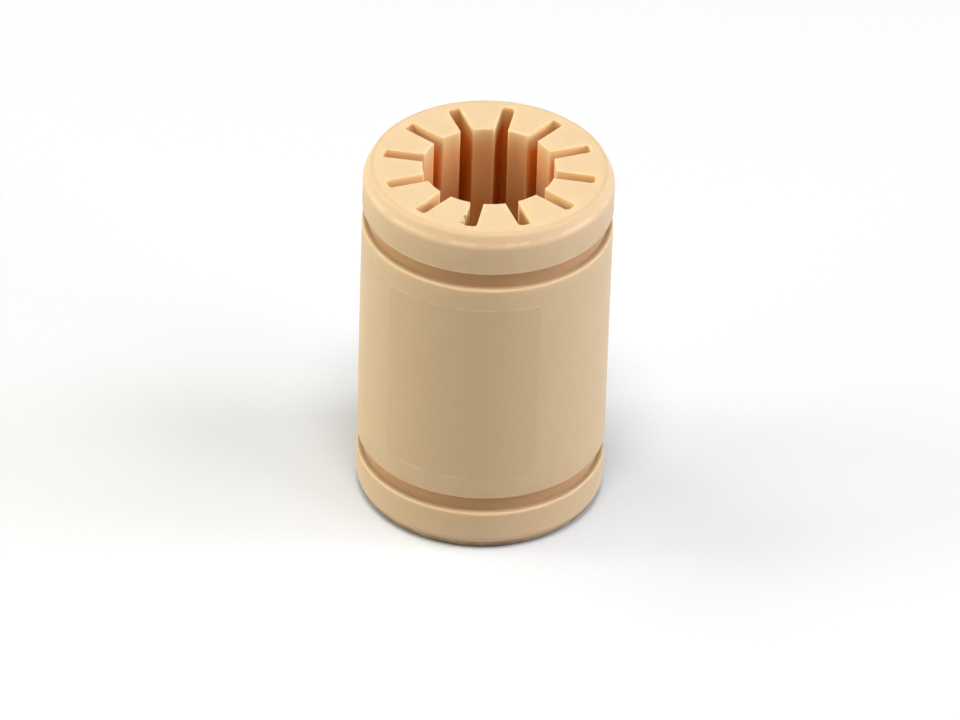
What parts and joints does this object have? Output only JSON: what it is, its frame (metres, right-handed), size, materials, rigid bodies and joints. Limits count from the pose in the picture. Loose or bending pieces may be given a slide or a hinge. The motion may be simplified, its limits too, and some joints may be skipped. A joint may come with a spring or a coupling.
{
  "type": "polymer linear bearing",
  "caption": "Cylindrical polymer linear bearing with retaining-ring grooves near its ends and a lengthwise-slotted bore whose lands slide on a round shaft.",
  "frame": {"origin": "centre of the lower end face, on the shaft's axis", "axes": "+Z along the shaft's axis, towards the upper end face; -Y through the middle of one slot and close to the middle of the moulded panel; the ends are alike"},
  "size_m": [0.019, 0.019, 0.029],
  "materials": {
    "bearing_polymer": "fine matt as-moulded skin, warm tan, slightly translucent at thin edges"
  },
  "bodies": {
    "root": {"slotted_bush": "bearing_polymer"}
  },
  "joints": []
}
